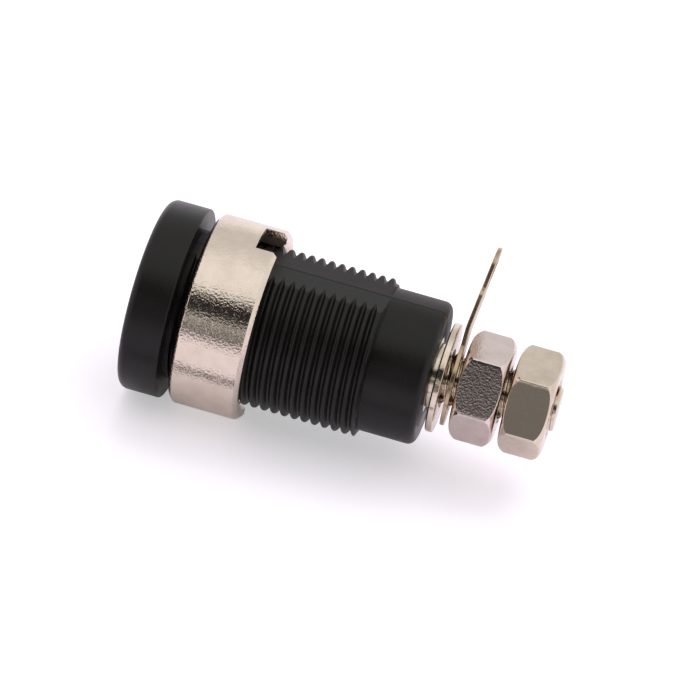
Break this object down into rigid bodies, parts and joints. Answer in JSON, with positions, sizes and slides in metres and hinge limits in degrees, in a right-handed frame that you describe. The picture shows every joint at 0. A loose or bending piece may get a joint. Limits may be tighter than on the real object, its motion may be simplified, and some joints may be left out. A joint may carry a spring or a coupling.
{
  "type": "panel-mounted binding post",
  "caption": "Round insulated panel socket for a 4 mm plug, with a threaded barrel, slotted ring nut, rear terminal stud, washer, solder lug and hex nuts.",
  "frame": {"origin": "centre of the panel seat, which is the rear face of the front flange", "axes": "+X along the barrel from the front flange to the terminal stud, +Z the normal of the upper barrel flat"},
  "size_m": [0.0307, 0.014, 0.0157],
  "materials": {
    "housing_plastic": "moulded black polyamide, fine satin skin",
    "sleeve_plastic": "moulded black polyamide",
    "contact_metal": "turned brass, bright nickel plate",
    "ring_nut_metal": "turned brass, bright nickel plate",
    "washer_metal": "stamped brass, bright nickel plate",
    "lug_metal": "stamped brass sheet, thin plate",
    "clamp_nut_metal": "brass, bright nickel plate",
    "lock_nut_metal": "brass, bright nickel plate"
  },
  "bodies": {
    "socket": {"housing": "housing_plastic", "inner_sleeve": "sleeve_plastic", "contact": "contact_metal", "washer": "washer_metal"},
    "ring_nut": {"ring_nut": "ring_nut_metal"},
    "solder_lug": {"solder_lug": "lug_metal"},
    "clamp_nut": {"clamp_nut": "clamp_nut_metal"},
    "lock_nut": {"lock_nut": "lock_nut_metal"}
  },
  "joints": [
    {"name": "ring_nut_turn", "type": "hinge", "parent": "socket", "child": "ring_nut", "pos_m": [0.0034, 0, 0], "axis": [1, 0, 0], "continuous": true},
    {"name": "solder_lug_swing", "type": "hinge", "parent": "socket", "child": "solder_lug", "pos_m": [0.01997, 0, 0], "axis": [1, 0, 0], "continuous": true},
    {"name": "clamp_nut_turn", "type": "hinge", "parent": "socket", "child": "clamp_nut", "pos_m": [0.0221, 0, 0], "axis": [1, 0, 0], "continuous": true},
    {"name": "lock_nut_turn", "type": "hinge", "parent": "socket", "child": "lock_nut", "pos_m": [0.0257, 0, 0], "axis": [1, 0, 0], "continuous": true}
  ]
}
